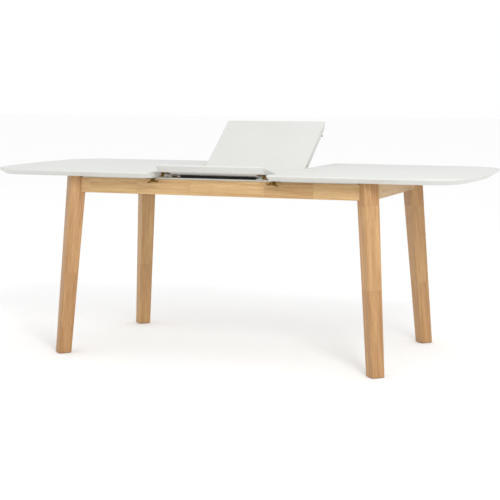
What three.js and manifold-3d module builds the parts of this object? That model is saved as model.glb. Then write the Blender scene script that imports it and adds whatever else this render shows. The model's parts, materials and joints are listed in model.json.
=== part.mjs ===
// Extendable dining table: two sliding top halves on a splayed rubberwood frame,
// with a folding butterfly leaf between them. Millimetres, +Z up, X along the table,
// -Y the front. The origin is on the floor, under the middle of the table.
// The pose shown is the table drawn open with its leaf part unfolded.

import * as THREE from 'three';
import { mergeVertices } from 'three/addons/utils/BufferGeometryUtils.js';
import Module from 'manifold-3d';

const wasm = await Module();
wasm.setup();

// ---------------------------------------------------------------- driving dimensions

const TABLE_HEIGHT = 750;
const PANEL_THICKNESS = 24;
const PANEL_NOSE = 6; // upright band at the edge of a panel
const PANEL_BEVEL = 29; // how far the under-bevel runs in
const GAP = 0.3; // between touching pieces

const HALF_LENGTH = 764; // one top half, cut face to tip
const HALF_DEPTH = 425; // at the cut face
const END_BOW_RADIUS = 1900;
const SIDE_BOW_RADIUS = 26000;
const CORNER_RADIUS = 150;
const OPEN_TRAVEL = 243; // cut face from the table's middle

const LEAF_WIDTH = 444;
const LEAF_JOINT = 1.6; // slit between the leaf halves
const LEAF_TILT = THREE.MathUtils.degToRad(13.2); // front half, its fold edge down
const LEAF_RISE = THREE.MathUtils.degToRad(35.3); // rear half, its far edge up
const TILT_AXIS_Y = -284;
const TILT_AXIS_Z = 706;
const LINK_AXIS_OFFSET = 5; // each fold pivot from the slit's middle
const LINK_AXIS_DEPTH = 3; // fold pivots under the top surface

const APRON_THICKNESS = 22;
const APRON_BOTTOM = 658;
const APRON_TOP = 719;
const APRON_FACE_Y = 346; // outer faces
const APRON_FACE_X = 632;
const APRON_END_X = 585; // where the long aprons butt into the legs
const APRON_END_Y = 300;

// The legs are square bars turned by 45 degrees, with one face to the corner.
const LEG_TOP = { x: 611, y: 330, halfDiagonal: 45.5 };
const LEG_FOOT = { x: 662.5, y: 375, halfDiagonal: 37.5 };
const LEG_OUTER_RADIUS = 7; // on the two edges of the outer face
const LEG_INNER_RADIUS = 3;
const GLIDE_HEIGHT = 2.5;
const GLIDE_INSET = 5;
const LEG_HEIGHT = TABLE_HEIGHT - PANEL_THICKNESS - 0.5;
const HOUSING_REACH = 100; // how far a housing runs out through a leg

const RAIL = { top: 709, height: 22, width: 30, wall: 2.5, slot: 12, length: 1120 };
const RUNNER = {
  length: 300, inset: 10, foot: 22, footHeight: 5, web: 7, flange: 28, thickness: 3,
  screws: [30, 150, 270],
};
const STRIP = { width: 7, height: 6.2, setBack: 0.5, short: 8 };
const CROSS_RAIL = { x: 240, thickness: 22, height: 27 };
const REST_BATTEN = { y: -136, width: 28, top: 687.5, height: 27.5 };

const LOCK = { y: 378, pivotX: 254, pivotZ: 715, plate: 2.5, pinRadius: 2.5, screwRadius: 2.2 };
const KEEPER_X = 212; // keeper pins under the leaf
const LATCH_TRAVEL = OPEN_TRAVEL - LEAF_WIDTH / 2 - 0.5; // from the pose shown to latched
const BOARD_EASE = 1; // small chamfer on the upper edges of a panel
const DOWEL_HOLE = { radius: 4.4, depth: 12, ys: [130, 365] };
const SIDES = 24; // facets round a small cylinder

// ---------------------------------------------------------------- materials

function material(colour, roughness, metalness) {
  return new THREE.MeshStandardMaterial({ color: colour, roughness, metalness });
}

const whiteLacquer = () => material(0xeeefea, 0.35, 0);
const rubberwood = () => material(0xc89e73, 0.55, 0);
const yellowZinc = () => material(0xb59a55, 0.35, 1);
const brightZinc = () => material(0xa9abad, 0.4, 1);
const aluminium = () => material(0xc2c4c6, 0.35, 1);
const whiteNylon = () => material(0xe4e3de, 0.5, 0);
const greyFelt = () => material(0x8b8780, 0.95, 0);
const blackSteel = () => material(0x1d1c1b, 0.5, 0.3);

// ---------------------------------------------------------------- solids

// A closed geometry as a solid that can be cut and joined.
function solid(geometry) {
  const plain = geometry.clone();
  plain.deleteAttribute('normal');
  plain.deleteAttribute('uv');
  const merged = mergeVertices(plain, 1e-4);
  return new wasm.Manifold(new wasm.Mesh({
    numProp: 3,
    vertProperties: new Float32Array(merged.attributes.position.array),
    triVerts: new Uint32Array(merged.index.array),
  }));
}

function geometryOf(body) {
  const mesh = body.getMesh();
  const geometry = new THREE.BufferGeometry();
  geometry.setAttribute('position', new THREE.BufferAttribute(mesh.vertProperties, 3));
  geometry.setIndex(new THREE.BufferAttribute(mesh.triVerts, 1));
  geometry.computeVertexNormals();
  return geometry;
}

// A box between two corners.
function box(x0, x1, y0, y1, z0, z1) {
  const geometry = new THREE.BoxGeometry(x1 - x0, y1 - y0, z1 - z0);
  geometry.translate((x0 + x1) / 2, (y0 + y1) / 2, (z0 + z1) / 2);
  return solid(geometry);
}

// A cylinder along 'x', 'y' or 'z', centred at (x, y, z).
function rod(axis, radius, length, x, y, z, sides = SIDES) {
  const geometry = new THREE.CylinderGeometry(radius, radius, length, sides);
  if (axis === 'x') geometry.rotateZ(Math.PI / 2);
  if (axis === 'z') geometry.rotateX(Math.PI / 2);
  geometry.translate(x, y, z);
  return solid(geometry);
}

// A flat outline in the XZ plane, given a thickness along Y from y0 to y1.
function plateXZ(shape, y0, y1) {
  const geometry = new THREE.ExtrudeGeometry(shape, {
    depth: y1 - y0, bevelEnabled: false, curveSegments: 10,
  });
  geometry.rotateX(Math.PI / 2);
  geometry.translate(0, y1, 0);
  return solid(geometry);
}

// A flat outline in the YZ plane, given a thickness along X from x0 to x1.
function plateYZ(shape, x0, x1) {
  const geometry = new THREE.ExtrudeGeometry(shape, {
    depth: x1 - x0, bevelEnabled: false, curveSegments: 10,
  });
  geometry.rotateY(Math.PI / 2);
  geometry.rotateX(Math.PI / 2);
  geometry.translate(x0, 0, 0);
  return solid(geometry);
}

function polygon(points) {
  return new THREE.Shape(points.map(([x, y]) => new THREE.Vector2(x, y)));
}

function join(first, ...rest) {
  return rest.reduce((whole, next) => whole.add(next), first);
}

function cut(first, ...rest) {
  return rest.reduce((whole, next) => whole.subtract(next), first);
}

// A solid mirrored to the side of the table that the two signs give.
function toSide(body, signX, signY) {
  let turned = body;
  if (signX < 0) turned = turned.mirror([1, 0, 0]);
  if (signY < 0) turned = turned.mirror([0, 1, 0]);
  return turned;
}

const root = new THREE.Group();

function place(name, body, finish, parent = root) {
  const mesh = new THREE.Mesh(geometryOf(body), finish());
  mesh.name = name;
  parent.add(mesh);
  return mesh;
}

const SIDE_NAMES = [[-1, 'left'], [1, 'right']];
const ROW_NAMES = [[-1, 'front'], [1, 'rear']];
const PANEL_BOTTOM = TABLE_HEIGHT - PANEL_THICKNESS;

// ---------------------------------------------------------------- panels

// The plan of the right top half, set in from its own edge: cut face at x = 0.
function halfOutline(inset) {
  const radius = CORNER_RADIUS - inset;
  const length = HALF_LENGTH - inset;
  const depth = HALF_DEPTH - inset;
  const endX = (y) => length - (y * y) / (2 * END_BOW_RADIUS);
  const sideY = (x) => depth - (x * x) / (2 * SIDE_BOW_RADIUS);
  let cx = length - radius;
  let cy = depth - radius;
  for (let pass = 0; pass < 12; pass += 1) {
    cx = endX(cy) - radius;
    cy = sideY(cx) - radius;
  }
  const startAngle = Math.atan(cy / END_BOW_RADIUS);
  const endAngle = Math.PI / 2 - Math.atan(cx / SIDE_BOW_RADIUS);
  const points = [];
  const endSteps = 10;
  const topOfEnd = cy + radius * Math.sin(startAngle);
  for (let i = -endSteps; i < endSteps; i += 1) {
    const y = (topOfEnd * i) / endSteps;
    points.push([endX(y), y]);
  }
  const corner = [];
  const cornerSteps = 12;
  for (let i = 0; i <= cornerSteps; i += 1) {
    const angle = startAngle + ((endAngle - startAngle) * i) / cornerSteps;
    corner.push([cx + radius * Math.cos(angle), cy + radius * Math.sin(angle)]);
  }
  const sideSteps = 6;
  const startX = cx + radius * Math.cos(endAngle);
  for (let i = 1; i <= sideSteps; i += 1) {
    const x = startX * (1 - i / sideSteps);
    corner.push([x, sideY(x)]);
  }
  const mirrored = corner.slice(1).reverse().map(([x, y]) => [x, -y]);
  return [...mirrored, ...points, ...corner];
}

// A solid skinned over level rings that all have the same number of points.
function skin(rings) {
  const count = rings[0].points.length;
  const positions = [];
  rings.forEach(({ points, z }) => points.forEach(([x, y]) => positions.push(x, y, z)));
  const indices = [];
  for (let level = 0; level < rings.length - 1; level += 1) {
    for (let i = 0; i < count; i += 1) {
      const a = level * count + i;
      const b = level * count + ((i + 1) % count);
      indices.push(a, b, a + count, b, b + count, a + count);
    }
  }
  const top = (rings.length - 1) * count;
  const caps = THREE.ShapeUtils.triangulateShape(
    rings[0].points.map(([x, y]) => new THREE.Vector2(x, y)), []);
  caps.forEach(([a, b, c]) => {
    indices.push(a, c, b);
    indices.push(top + a, top + b, top + c);
  });
  const geometry = new THREE.BufferGeometry();
  geometry.setAttribute('position', new THREE.Float32BufferAttribute(positions, 3));
  geometry.setIndex(indices);
  return solid(geometry);
}

function dowelHoles(faceX, direction) {
  const holes = [];
  const z = TABLE_HEIGHT - PANEL_THICKNESS / 2;
  DOWEL_HOLE.ys.forEach((y) => [-1, 1].forEach((row) => {
    const middle = faceX + (direction * (DOWEL_HOLE.depth - 1)) / 2;
    holes.push(rod('x', DOWEL_HOLE.radius, DOWEL_HOLE.depth + 1, middle, row * y, z, 16));
  }));
  return holes;
}

function topHalf(signX) {
  const panel = skin([
    { points: halfOutline(PANEL_BEVEL).map(([x, y]) => [Math.max(x, 0), y]), z: PANEL_BOTTOM },
    { points: halfOutline(0), z: TABLE_HEIGHT - PANEL_NOSE },
    { points: halfOutline(0), z: TABLE_HEIGHT - BOARD_EASE },
    { points: halfOutline(BOARD_EASE), z: TABLE_HEIGHT },
  ]);
  const placed = toSide(panel.translate([OPEN_TRAVEL, 0, 0]), signX, 1);
  if (signX > 0) return placed;
  return cut(placed, ...dowelHoles(-OPEN_TRAVEL, -1));
}

// The leaf lies flush here; its groups turn it to the pose shown.
function leafHalf(row) {
  const inner = LEAF_JOINT / 2;
  const half = LEAF_WIDTH / 2;
  const section = polygon([
    [row * inner, PANEL_BOTTOM],
    [row * (HALF_DEPTH - PANEL_BEVEL), PANEL_BOTTOM],
    [row * HALF_DEPTH, TABLE_HEIGHT - PANEL_NOSE],
    [row * HALF_DEPTH, TABLE_HEIGHT - BOARD_EASE],
    [row * (HALF_DEPTH - BOARD_EASE), TABLE_HEIGHT],
    [row * (inner + BOARD_EASE), TABLE_HEIGHT],
    [row * inner, TABLE_HEIGHT - BOARD_EASE],
  ]);
  const recesses = [-1, 1].map((side) => box(
    Math.min(side * (half - HINGE.recess), side * (half + 1)),
    Math.max(side * (half - HINGE.recess), side * (half + 1)),
    Math.min(0, row * HINGE.length), Math.max(0, row * HINGE.length),
    TABLE_HEIGHT - HINGE.height, TABLE_HEIGHT + 1));
  return cut(plateYZ(section, -half, half), ...recesses, ...dowelHoles(half, -1));
}

// ---------------------------------------------------------------- leaf hardware

// Folding hinges let into the ends of the leaf: a plate on each half and a link.
const HINGE = { length: 56, height: 12, recess: 5.2, plate: 2, link: 2, rivet: 1.5, screw: 2.2 };
const HINGE_SCREWS_Y = [22, 44];
const LINK_Z = TABLE_HEIGHT - LINK_AXIS_DEPTH;

function hingePlate(signX, row) {
  const back = LEAF_WIDTH / 2 - HINGE.recess + GAP;
  const low = TABLE_HEIGHT - HINGE.height + 0.5;
  const plate = box(back, back + HINGE.plate, 1.2, HINGE.length - 0.5, low, TABLE_HEIGHT - 0.4);
  const rivetLength = HINGE.plate + HINGE.link + 2 * GAP;
  const rivet = rod('x', HINGE.rivet, rivetLength, back + rivetLength / 2, LINK_AXIS_OFFSET, LINK_Z, 12);
  const screws = HINGE_SCREWS_Y.map((y) => rod(
    'x', HINGE.screw, HINGE.plate + 1, back + HINGE.plate / 2, y, low + 5.5, 12));
  return toSide(cut(join(plate, rivet), ...screws), signX, row);
}

function hingeLink(signX) {
  const inner = LEAF_WIDTH / 2 - HINGE.recess + HINGE.plate + 2 * GAP;
  const outer = inner + HINGE.link;
  const middle = (inner + outer) / 2;
  const radius = LINK_AXIS_DEPTH - 0.1;
  const bar = box(
    inner, outer, -LINK_AXIS_OFFSET, LINK_AXIS_OFFSET, LINK_Z - radius, LINK_Z + radius);
  const eyes = [-1, 1].map((row) => rod(
    'x', radius, HINGE.link, middle, row * LINK_AXIS_OFFSET, LINK_Z));
  const holes = [-1, 1].map((row) => rod(
    'x', HINGE.rivet + GAP, HINGE.link + 1, middle, row * LINK_AXIS_OFFSET, LINK_Z, 12));
  return toSide(cut(join(bar, ...eyes), ...holes), signX, 1);
}

// Pivots that carry the front leaf half on the inner face of the front guide rail.
const PIVOT = { x: 199, cheek: 15, plate: 2.4, pin: 2.5, eye: 4.8, low: 689, high: 712 };
const PIVOT_CHEEK = { low: 698, inner: -278 };
const ARM = { blade: 4, halfWidth: 13, back: 43, front: 7, flange: 3, screwX: 7.5, screwY: 29 };
const RAIL_INNER = APRON_FACE_Y - APRON_THICKNESS - GAP - RAIL.width;

function pivotBracket(signX) {
  const back = -RAIL_INNER + GAP;
  const half = PIVOT.cheek + PIVOT.plate;
  const wall = box(
    PIVOT.x - half, PIVOT.x + half, back, back + PIVOT.plate, PIVOT.low, PIVOT.high);
  const cheeks = [-1, 1].map((side) => {
    const middle = PIVOT.x + side * (PIVOT.cheek + PIVOT.plate / 2);
    return box(middle - PIVOT.plate / 2, middle + PIVOT.plate / 2,
      back, PIVOT_CHEEK.inner, PIVOT_CHEEK.low, PIVOT.high);
  });
  const bore = rod('x', PIVOT.pin + 0.2, 4 * half, PIVOT.x, TILT_AXIS_Y, TILT_AXIS_Z);
  return toSide(cut(join(wall, ...cheeks), bore), signX, 1);
}

function pivotPin(signX) {
  const span = 2 * (PIVOT.cheek + PIVOT.plate) + 2;
  const shaft = rod('x', PIVOT.pin, span, PIVOT.x, TILT_AXIS_Y, TILT_AXIS_Z);
  const head = rod('x', PIVOT.pin + 1.6, 2, PIVOT.x + span / 2 + 0.5, TILT_AXIS_Y, TILT_AXIS_Z);
  return toSide(join(shaft, head), signX, 1);
}

function leafArm(signX) {
  const top = PANEL_BOTTOM - GAP;
  const ear = new THREE.Shape();
  ear.moveTo(TILT_AXIS_Y + PIVOT.eye, TILT_AXIS_Z);
  ear.lineTo(TILT_AXIS_Y + PIVOT.eye, top - 1);
  ear.lineTo(TILT_AXIS_Y - PIVOT.eye, top - 1);
  ear.lineTo(TILT_AXIS_Y - PIVOT.eye, TILT_AXIS_Z);
  ear.absarc(TILT_AXIS_Y, TILT_AXIS_Z, PIVOT.eye, Math.PI, 2 * Math.PI, false);
  const blade = plateYZ(ear, PIVOT.x - ARM.blade / 2, PIVOT.x + ARM.blade / 2);
  const flange = box(PIVOT.x - ARM.halfWidth, PIVOT.x + ARM.halfWidth,
    TILT_AXIS_Y - ARM.front, TILT_AXIS_Y + ARM.back, top - ARM.flange, top);
  const bore = rod('x', PIVOT.pin + 0.2, 2 * ARM.blade, PIVOT.x, TILT_AXIS_Y, TILT_AXIS_Z);
  const screws = [-1, 1].map((side) => rod(
    'z', 2.4, 2 * ARM.flange, PIVOT.x + side * ARM.screwX, TILT_AXIS_Y + ARM.screwY,
    top - ARM.flange / 2, 12));
  return toSide(cut(join(blade, flange), bore, ...screws), signX, 1);
}

// Steel angle under the front leaf half, behind the top edge of the apron.
const STIFFENER = {
  halfLength: 160, front: -322, width: 26, low: 710, thickness: 3, screws: [-130, -60, 60, 130],
};

function leafStiffener() {
  const { halfLength, front, low, thickness } = STIFFENER;
  const top = PANEL_BOTTOM - GAP;
  const web = box(-halfLength, halfLength, front, front + thickness, low, top);
  const flange = box(
    -halfLength, halfLength, front, front + STIFFENER.width, top - thickness, top);
  const screws = STIFFENER.screws.map((x) => rod(
    'z', 2.4, 2 * thickness, x, front + STIFFENER.width - 11, top - thickness / 2, 12));
  return cut(join(web, flange), ...screws);
}

// ---------------------------------------------------------------- seam locks

// A plate under a panel with an ear and a pin, measured from the pin's axis.
function lockPlate(pinX, { from, to, earFrom, earTo, screws }) {
  const top = PANEL_BOTTOM - GAP;
  const plate = box(pinX + from, pinX + to, LOCK.y - 20, LOCK.y + 6, top - LOCK.plate, top);
  const ear = box(
    pinX + earFrom, pinX + earTo, LOCK.y - 6.5, LOCK.y - 4, LOCK.pivotZ - 6, top - 1);
  const pin = rod('y', LOCK.pinRadius, 11.5, pinX, LOCK.y + 0.25, LOCK.pivotZ);
  const holes = screws.map((x) => rod(
    'z', LOCK.screwRadius, 2 * LOCK.plate, pinX + x, LOCK.y - 13, top - LOCK.plate / 2, 12));
  return cut(join(plate, ear, pin), ...holes);
}

// Base under a top half, for the lever.
const LOCK_BASE = { from: -10, to: 25, earFrom: -7, earTo: 8, screws: [-4, 19] };

function lockBase(signX, row) {
  return toSide(lockPlate(LOCK.pivotX, LOCK_BASE), signX, row);
}

// Keeper under the leaf: its pin is what the hook takes.
const KEEPER = { from: -27, to: 6, earFrom: -6, earTo: 6, screws: [-21, -4] };

function lockKeeper(signX, row) {
  return toSide(lockPlate(KEEPER_X, KEEPER), signX, row);
}

// Lever with a hook towards the leaf and a finger tab away from it. The outlines are
// measured from the hook's mouth and from the pivot.
const HOOK_OUTLINE = [
  [8, 4], [3.4, 6], [3.4, -0.5], [1.6, -2.9], [-1.6, -2.9], [-3.4, -0.5], [-3.4, 5],
  [-6.5, 2], [-6, -5], [-2, -7], [5, -7],
];
const TAB_OUTLINE = [[-2, -6], [5, 2], [17, -6], [20, -9], [16, -11]];
const LEVER = { thickness: 3, neck: 5, eye: 7 };

function lockLever(signX, row) {
  const reach = LOCK.pivotX - LATCH_TRAVEL - KEEPER_X;
  const mouth = LOCK.pivotX - reach;
  const z = LOCK.pivotZ;
  const arm = polygon([
    [LOCK.pivotX, z - LEVER.neck],
    [LOCK.pivotX, z + LEVER.neck],
    ...HOOK_OUTLINE.map(([x, up]) => [mouth + x, z + up]),
  ]);
  const tab = polygon(TAB_OUTLINE.map(([x, up]) => [LOCK.pivotX + x, z + up]));
  const y0 = LOCK.y - LEVER.thickness / 2;
  const y1 = LOCK.y + LEVER.thickness / 2;
  const eye = rod('y', LEVER.eye, LEVER.thickness, LOCK.pivotX, LOCK.y, z);
  const bore = rod('y', LOCK.pinRadius + GAP, 3 * LEVER.thickness, LOCK.pivotX, LOCK.y, z);
  const blank = join(plateXZ(arm, y0, y1), plateXZ(tab, y0, y1), eye);
  return toSide(cut(blank, bore), signX, row);
}

// ---------------------------------------------------------------- frame

// Plan of a leg blank, for the right rear leg.
function legRing({ x, y, halfDiagonal }) {
  const points = [];
  const steps = 6;
  const radii = [LEG_OUTER_RADIUS, LEG_OUTER_RADIUS, LEG_INNER_RADIUS, LEG_INNER_RADIUS];
  radii.forEach((radius, corner) => {
    const facing = (corner * Math.PI) / 2;
    const toCentre = halfDiagonal - radius * Math.SQRT2;
    for (let i = 0; i <= steps; i += 1) {
      const angle = facing + (Math.PI / 2) * (i / steps - 0.5);
      points.push([
        x + toCentre * Math.cos(facing) + radius * Math.cos(angle),
        y + toCentre * Math.sin(facing) + radius * Math.sin(angle),
      ]);
    }
  });
  return points;
}

function legAt(z) {
  const t = z / LEG_HEIGHT;
  const between = (key) => LEG_FOOT[key] + (LEG_TOP[key] - LEG_FOOT[key]) * t;
  return { x: between('x'), y: between('y'), halfDiagonal: between('halfDiagonal') };
}

function leg(signX, signY) {
  const foot = GLIDE_HEIGHT + GAP;
  const blank = skin([
    { points: legRing(legAt(foot)), z: foot },
    { points: legRing(legAt(LEG_HEIGHT)), z: LEG_HEIGHT },
  ]);
  const low = APRON_BOTTOM - GAP;
  const high = LEG_HEIGHT + 5;
  const innerX = APRON_FACE_X - APRON_THICKNESS - GAP;
  const innerY = APRON_FACE_Y - APRON_THICKNESS - GAP;
  const endX = APRON_END_X + GAP;
  const endY = APRON_END_Y + GAP;
  const longHousing = box(
    endX - HOUSING_REACH, endX, innerY, innerY + HOUSING_REACH, low, high);
  const endHousing = box(
    innerX, innerX + HOUSING_REACH, endY - HOUSING_REACH, endY, low, high);
  const bolt = rod('x', BOLT.radius + GAP, BOLT.bore, BOLT.bore / 2, 0, 0)
    .rotate([0, 0, 45])
    .translate([boltSeat.x, boltSeat.y, BOLT.z]);
  return toSide(cut(blank, longHousing, endHousing, bolt), signX, signY);
}

function longApron(row) {
  const inner = APRON_FACE_Y - APRON_THICKNESS;
  return toSide(
    box(-APRON_END_X, APRON_END_X, inner, APRON_FACE_Y, APRON_BOTTOM, APRON_TOP), 1, row);
}

function endApron(signX) {
  const inner = APRON_FACE_X - APRON_THICKNESS;
  return toSide(
    box(inner, APRON_FACE_X, -APRON_END_Y, APRON_END_Y, APRON_BOTTOM, APRON_TOP), signX, 1);
}

function crossRail(signX) {
  const depth = APRON_FACE_Y - APRON_THICKNESS - GAP;
  const low = APRON_BOTTOM + 1;
  return toSide(box(CROSS_RAIL.x, CROSS_RAIL.x + CROSS_RAIL.thickness, -depth, depth,
    low, low + CROSS_RAIL.height), signX, 1);
}

function restBatten() {
  const half = REST_BATTEN.width / 2;
  const reach = CROSS_RAIL.x - GAP;
  return box(-reach, reach, REST_BATTEN.y - half, REST_BATTEN.y + half,
    REST_BATTEN.top - REST_BATTEN.height, REST_BATTEN.top);
}

// Steel corner plate across the inside of a corner, with the hanger bolt through it.
// Its middle stands where x + y is the diagonal and x - y is the axis of the leg.
const BRACKET = { thickness: 3, low: 660.5, high: 686, flange: 36, diagonal: 848, axis: 282 };
const BOLT = { radius: 4, z: 673, length: 86, inside: 12, bore: 90 };
const WASHER = { radius: 9, thickness: 1.6 };
const NUT = { radius: 7.2, thickness: 6 };
const boltSeat = {
  x: (BRACKET.diagonal + BRACKET.axis) / 2,
  y: (BRACKET.diagonal - BRACKET.axis) / 2,
};

function cornerBracket(signX, signY) {
  const wallY = APRON_FACE_Y - APRON_THICKNESS - GAP;
  const wallX = APRON_FACE_X - APRON_THICKNESS - GAP;
  const t = BRACKET.thickness;
  const diagonal = BRACKET.diagonal;
  const bend = t * Math.tan(Math.PI / 8);
  const outline = polygon([
    [diagonal - wallY - BRACKET.flange, wallY],
    [diagonal - wallY - BRACKET.flange, wallY - t],
    [diagonal - wallY - bend, wallY - t],
    [wallX - t, diagonal - wallX - bend],
    [wallX - t, diagonal - wallX - BRACKET.flange],
    [wallX, diagonal - wallX - BRACKET.flange],
    [wallX, diagonal - wallX],
    [diagonal - wallY, wallY],
  ].reverse());
  const geometry = new THREE.ExtrudeGeometry(outline, {
    depth: BRACKET.high - BRACKET.low, bevelEnabled: false,
  });
  geometry.translate(0, 0, BRACKET.low);
  const bore = rod('x', BOLT.radius + 0.4, 30, 0, 0, 0)
    .rotate([0, 0, 45])
    .translate([boltSeat.x, boltSeat.y, BOLT.z]);
  return toSide(cut(solid(geometry), bore), signX, signY);
}

// Hanger bolt in the leg with its washer and hexagon nut on the corner plate.
function hangerBolt(signX, signY) {
  const face = -BRACKET.thickness - GAP;
  const shank = rod('x', BOLT.radius, BOLT.length, BOLT.length / 2 - BOLT.inside, 0, 0, 16);
  const washer = rod('x', WASHER.radius, WASHER.thickness, face - WASHER.thickness / 2, 0, 0);
  const nutMiddle = face - WASHER.thickness - NUT.thickness / 2 + 0.1;
  const nut = rod('x', NUT.radius, NUT.thickness, nutMiddle, 0, 0, 6);
  const bolt = join(shank, washer, nut)
    .rotate([0, 0, 45])
    .translate([boltSeat.x, boltSeat.y, BOLT.z]);
  return toSide(bolt, signX, signY);
}

function footGlide(signX, signY) {
  const half = LEG_FOOT.halfDiagonal;
  const pad = legRing({ ...LEG_FOOT, halfDiagonal: half - GLIDE_INSET });
  const tread = legRing({ ...LEG_FOOT, halfDiagonal: half - GLIDE_INSET - 1 });
  return toSide(skin([
    { points: tread, z: 0 },
    { points: pad, z: 0.8 },
    { points: pad, z: GLIDE_HEIGHT },
  ]), signX, signY);
}

// ---------------------------------------------------------------- slides

const railMiddle = APRON_FACE_Y - APRON_THICKNESS - GAP - RAIL.width / 2;

function guideRail(row) {
  const half = RAIL.width / 2;
  const low = RAIL.top - RAIL.height;
  const profile = polygon([
    [railMiddle - half, low], [railMiddle + half, low],
    [railMiddle + half, RAIL.top], [railMiddle + RAIL.slot / 2, RAIL.top],
    [railMiddle + RAIL.slot / 2, RAIL.top - RAIL.wall],
    [railMiddle + half - RAIL.wall, RAIL.top - RAIL.wall],
    [railMiddle + half - RAIL.wall, low + RAIL.wall],
    [railMiddle - half + RAIL.wall, low + RAIL.wall],
    [railMiddle - half + RAIL.wall, RAIL.top - RAIL.wall],
    [railMiddle - RAIL.slot / 2, RAIL.top - RAIL.wall],
    [railMiddle - RAIL.slot / 2, RAIL.top], [railMiddle - half, RAIL.top],
  ]);
  return toSide(plateYZ(profile, -RAIL.length / 2, RAIL.length / 2), 1, row);
}

function runner(signX, row) {
  const top = PANEL_BOTTOM - GAP;
  const footTop = RAIL.top - RAIL.wall - 0.5;
  const x0 = OPEN_TRAVEL + RUNNER.inset;
  const x1 = x0 + RUNNER.length;
  const bar = (width, low, high) => box(
    x0, x1, railMiddle - width / 2, railMiddle + width / 2, low, high);
  const foot = bar(RUNNER.foot, footTop - RUNNER.footHeight, footTop);
  const web = bar(RUNNER.web, footTop - 2, top - 1);
  const flange = bar(RUNNER.flange, top - RUNNER.thickness, top);
  const screws = RUNNER.screws.map((x) => rod(
    'z', 2.4, 3 * RUNNER.thickness, x0 + x, railMiddle - 9, top - RUNNER.thickness / 2, 12));
  return toSide(cut(join(foot, web, flange), ...screws), signX, row);
}

function glideStrip(row) {
  const outer = APRON_FACE_Y - STRIP.setBack;
  const reach = APRON_END_X - STRIP.short;
  return toSide(box(-reach, reach, outer - STRIP.width, outer,
    APRON_TOP + GAP, APRON_TOP + GAP + STRIP.height), 1, row);
}

// ---------------------------------------------------------------- assembly

SIDE_NAMES.forEach(([signX, side]) => {
  ROW_NAMES.forEach(([signY, row]) => {
    place(`leg_${side}_${row}`, leg(signX, signY), rubberwood);
    place(`corner_bracket_${side}_${row}`, cornerBracket(signX, signY), brightZinc);
    place(`hanger_bolt_${side}_${row}`, hangerBolt(signX, signY), brightZinc);
    place(`foot_glide_${side}_${row}`, footGlide(signX, signY), greyFelt);
    place(`runner_${side}_${row}`, runner(signX, signY), aluminium);
    place(`lock_base_${side}_${row}`, lockBase(signX, signY), yellowZinc);
    place(`lock_lever_${side}_${row}`, lockLever(signX, signY), yellowZinc);
  });
  place(`top_${side}`, topHalf(signX), whiteLacquer);
  place(`apron_end_${side}`, endApron(signX), rubberwood);
  place(`cross_rail_${side}`, crossRail(signX), rubberwood);
  place(`pivot_bracket_${side}`, pivotBracket(signX), yellowZinc);
  place(`pivot_pin_${side}`, pivotPin(signX), brightZinc);
});
ROW_NAMES.forEach(([signY, row]) => {
  place(`apron_${row}`, longApron(signY), rubberwood);
  place(`guide_rail_${row}`, guideRail(signY), aluminium);
  place(`glide_strip_${row}`, glideStrip(signY), whiteNylon);
});
place('leaf_rest_batten', restBatten(), rubberwood);

// A group that turns what it holds by an angle about a line along X.
function hingeGroup(parent, y, z, angle) {
  const turned = new THREE.Group();
  turned.position.set(0, y, z);
  turned.rotation.x = angle;
  const content = new THREE.Group();
  content.position.set(0, -y, -z);
  turned.add(content);
  parent.add(turned);
  return content;
}

const frontLeaf = hingeGroup(root, TILT_AXIS_Y, TILT_AXIS_Z, -LEAF_TILT);
const links = hingeGroup(frontLeaf, -LINK_AXIS_OFFSET, LINK_Z, LEAF_TILT + LEAF_RISE);

place('leaf_front', leafHalf(-1), whiteLacquer, frontLeaf);
place('leaf_stiffener', leafStiffener(), blackSteel, frontLeaf);
place('leaf_rear', leafHalf(1), whiteLacquer, links);
SIDE_NAMES.forEach(([signX, side]) => {
  place(`leaf_arm_${side}`, leafArm(signX), yellowZinc, frontLeaf);
  place(`lock_keeper_${side}_front`, lockKeeper(signX, -1), yellowZinc, frontLeaf);
  place(`hinge_plate_${side}_front`, hingePlate(signX, -1), yellowZinc, frontLeaf);
  place(`hinge_link_${side}`, hingeLink(signX), yellowZinc, links);
  place(`hinge_plate_${side}_rear`, hingePlate(signX, 1), yellowZinc, links);
  place(`lock_keeper_${side}_rear`, lockKeeper(signX, 1), yellowZinc, links);
});

export default root;
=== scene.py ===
"""Extendable dining table in white lacquer and finger-jointed rubberwood, drawn open
with its folding leaf part unfolded. Metres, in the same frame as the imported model:
X along the table, -Y the front, +Z up, the origin on the floor under the middle."""

import json
import math

import bmesh
import bpy
from mathutils import Matrix, Vector


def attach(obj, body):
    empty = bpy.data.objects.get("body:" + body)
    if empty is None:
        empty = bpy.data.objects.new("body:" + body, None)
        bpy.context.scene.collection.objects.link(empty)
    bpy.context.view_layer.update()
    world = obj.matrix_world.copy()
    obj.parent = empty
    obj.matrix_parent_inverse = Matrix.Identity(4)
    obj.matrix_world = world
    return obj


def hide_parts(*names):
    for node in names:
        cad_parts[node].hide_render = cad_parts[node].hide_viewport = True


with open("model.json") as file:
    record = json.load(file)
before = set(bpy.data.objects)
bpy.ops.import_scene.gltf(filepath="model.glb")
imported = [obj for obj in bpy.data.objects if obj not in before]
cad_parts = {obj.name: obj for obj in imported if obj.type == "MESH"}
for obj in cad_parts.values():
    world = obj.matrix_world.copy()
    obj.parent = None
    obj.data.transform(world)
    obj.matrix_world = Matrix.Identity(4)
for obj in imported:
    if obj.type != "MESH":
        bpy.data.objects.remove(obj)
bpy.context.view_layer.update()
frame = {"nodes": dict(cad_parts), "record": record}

MM = 0.001
SIDES = ((-1, "left"), (1, "right"))
ROWS = ((-1, "front"), (1, "rear"))

# ------------------------------------------------------------------ camera

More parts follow.
